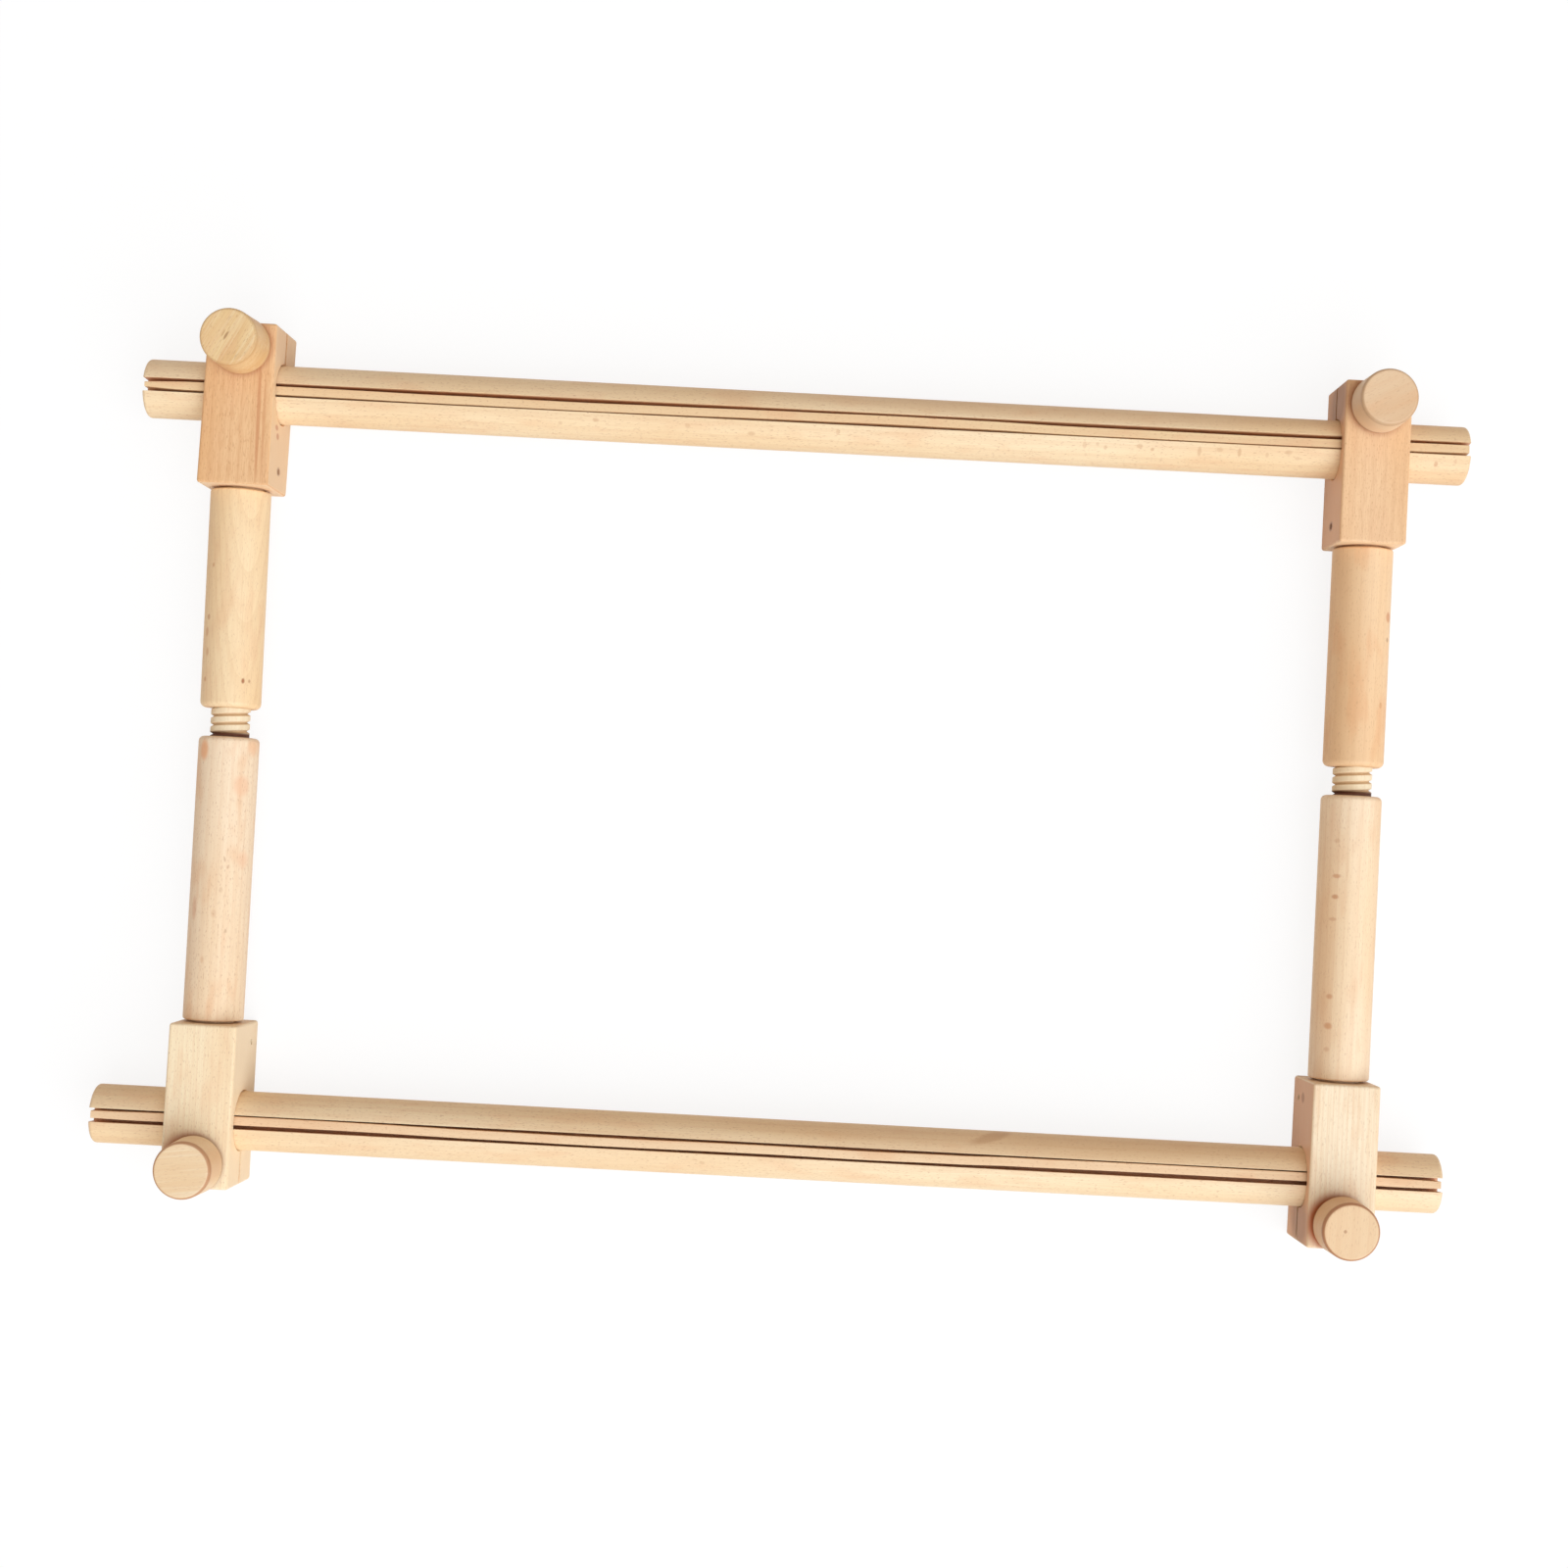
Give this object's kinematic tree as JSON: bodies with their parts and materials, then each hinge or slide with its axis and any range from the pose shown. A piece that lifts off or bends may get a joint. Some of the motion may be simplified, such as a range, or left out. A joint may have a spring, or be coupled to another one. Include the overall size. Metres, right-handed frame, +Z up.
{
  "type": "embroidery scroll frame",
  "caption": "Flat wooden scroll frame for embroidery: slotted rollers held in corner clamp blocks by turned knobs, joined by side bars that screw apart to stretch the cloth.",
  "frame": {"origin": "middle of the footprint, on the plane that the backs of the four corner blocks rest on", "axes": "+X along the rollers to the right, +Y across the frame to the upper roller, +Z up from the backs of the blocks to the knobs"},
  "size_m": [0.6, 0.392, 0.0556],
  "materials": {
    "beech_roller": "turned and sanded beech with a thin clear coat",
    "beech_batten": "sawn and lightly sanded beech strip",
    "beech_block": "planed beech with a thin clear coat",
    "beech_knob": "turned beech with a thin clear coat",
    "beech_sleeve": "turned and sanded beech with a thin clear coat",
    "beech_thread": "cut thread in bare beech",
    "zinc_steel": "zinc plated steel",
    "dark_steel": "dulled steel brad"
  },
  "bodies": {
    "lower_left_corner": {"lower_left_block": "beech_block", "lower_left_clamp_nut": "zinc_steel", "lower_left_pin": "dark_steel"},
    "lower_right_corner": {"lower_right_block": "beech_block", "lower_right_clamp_nut": "zinc_steel", "lower_right_pin": "dark_steel"},
    "upper_left_corner": {"upper_left_block": "beech_block", "upper_left_clamp_nut": "zinc_steel", "upper_left_pin": "dark_steel", "upper_left_sleeve": "beech_sleeve"},
    "upper_right_corner": {"upper_right_block": "beech_block", "upper_right_clamp_nut": "zinc_steel", "upper_right_pin": "dark_steel", "upper_right_sleeve": "beech_sleeve"},
    "left_adjuster": {"lower_left_sleeve": "beech_sleeve", "left_threaded_rod": "beech_thread"},
    "right_adjuster": {"lower_right_sleeve": "beech_sleeve", "right_threaded_rod": "beech_thread"},
    "upper_roller": {"upper_roller": "beech_roller"},
    "lower_roller": {"lower_roller": "beech_roller"},
    "upper_batten": {"upper_batten": "beech_batten"},
    "lower_batten": {"lower_batten": "beech_batten"},
    "lower_left_clamp_washer": {"lower_left_washer": "zinc_steel"},
    "lower_left_clamp_knob": {"lower_left_knob": "beech_knob", "lower_left_clamp_screw": "zinc_steel"},
    "lower_right_clamp_washer": {"lower_right_washer": "zinc_steel"},
    "lower_right_clamp_knob": {"lower_right_knob": "beech_knob", "lower_right_clamp_screw": "zinc_steel"},
    "upper_left_clamp_washer": {"upper_left_washer": "zinc_steel"},
    "upper_left_clamp_knob": {"upper_left_knob": "beech_knob", "upper_left_clamp_screw": "zinc_steel"},
    "upper_right_clamp_washer": {"upper_right_washer": "zinc_steel"},
    "upper_right_clamp_knob": {"upper_right_knob": "beech_knob", "upper_right_clamp_screw": "zinc_steel"}
  },
  "joints": [
    {"name": "frame_stretch", "type": "slide", "parent": "lower_left_corner", "child": "upper_left_corner", "axis": [0, 1, 0], "range_m": [-0.0125, 0.027]},
    {"name": "left_adjuster_turn", "type": "hinge", "parent": "lower_left_corner", "child": "left_adjuster", "pos_m": [-0.255, 0, 0.018], "axis": [0, 1, 0], "range_deg": [-2431, 1126]},
    {"name": "right_adjuster_turn", "type": "hinge", "parent": "lower_right_corner", "child": "right_adjuster", "pos_m": [0.255, 0, 0.018], "axis": [0, 1, 0], "range_deg": [-2431, 1126]},
    {"name": "lower_side_shift", "type": "slide", "parent": "lower_left_corner", "child": "lower_right_corner", "axis": [1, 0, 0], "range_m": [-0.3, 0.025]},
    {"name": "upper_side_shift", "type": "slide", "parent": "upper_left_corner", "child": "upper_right_corner", "axis": [1, 0, 0], "range_m": [-0.3, 0.025]},
    {"name": "lower_roller_turn", "type": "hinge", "parent": "lower_left_corner", "child": "lower_roller", "pos_m": [0, -0.165, 0.018], "axis": [1, 0, 0], "continuous": true},
    {"name": "upper_roller_turn", "type": "hinge", "parent": "upper_left_corner", "child": "upper_roller", "pos_m": [0, 0.165, 0.018], "axis": [1, 0, 0], "continuous": true},
    {"name": "lower_batten_slide", "type": "slide", "parent": "lower_roller", "child": "lower_batten", "axis": [1, 0, 0], "range_m": [-0.59, 0.59]},
    {"name": "upper_batten_slide", "type": "slide", "parent": "upper_roller", "child": "upper_batten", "axis": [1, 0, 0], "range_m": [-0.59, 0.59]},
    {"name": "lower_left_clamp_turn", "type": "hinge", "parent": "lower_left_corner", "child": "lower_left_clamp_washer", "pos_m": [-0.255, -0.183, 0.036], "axis": [0, 0, 1], "range_deg": [-1, 721]},
    {"name": "lower_left_clamp_lift", "type": "slide", "parent": "lower_left_clamp_washer", "child": "lower_left_clamp_knob", "axis": [0, 0, 1], "range_m": [0, 0.002]},
    {"name": "lower_right_clamp_turn", "type": "hinge", "parent": "lower_right_corner", "child": "lower_right_clamp_washer", "pos_m": [0.255, -0.183, 0.036], "axis": [0, 0, 1], "range_deg": [-1, 721]},
    {"name": "lower_right_clamp_lift", "type": "slide", "parent": "lower_right_clamp_washer", "child": "lower_right_clamp_knob", "axis": [0, 0, 1], "range_m": [0, 0.002]},
    {"name": "upper_left_clamp_turn", "type": "hinge", "parent": "upper_left_corner", "child": "upper_left_clamp_washer", "pos_m": [-0.255, 0.183, 0.036], "axis": [0, 0, 1], "range_deg": [-1, 721]},
    {"name": "upper_left_clamp_lift", "type": "slide", "parent": "upper_left_clamp_washer", "child": "upper_left_clamp_knob", "axis": [0, 0, 1], "range_m": [0, 0.002]},
    {"name": "upper_right_clamp_turn", "type": "hinge", "parent": "upper_right_corner", "child": "upper_right_clamp_washer", "pos_m": [0.255, 0.183, 0.036], "axis": [0, 0, 1], "range_deg": [-1, 721]},
    {"name": "upper_right_clamp_lift", "type": "slide", "parent": "upper_right_clamp_washer", "child": "upper_right_clamp_knob", "axis": [0, 0, 1], "range_m": [0, 0.002]}
  ],
  "couplings": [
    {"joint": "left_adjuster_turn", "follows": "frame_stretch", "rad_per_m": -1570.8},
    {"joint": "right_adjuster_turn", "follows": "frame_stretch", "rad_per_m": -1570.8},
    {"joint": "upper_side_shift", "follows": "lower_side_shift", "ratio": 1},
    {"joint": "lower_left_clamp_turn", "follows": "lower_left_clamp_lift", "rad_per_m": 6283.2},
    {"joint": "lower_right_clamp_turn", "follows": "lower_right_clamp_lift", "rad_per_m": 6283.2},
    {"joint": "upper_left_clamp_turn", "follows": "upper_left_clamp_lift", "rad_per_m": 6283.2},
    {"joint": "upper_right_clamp_turn", "follows": "upper_right_clamp_lift", "rad_per_m": 6283.2}
  ]
}
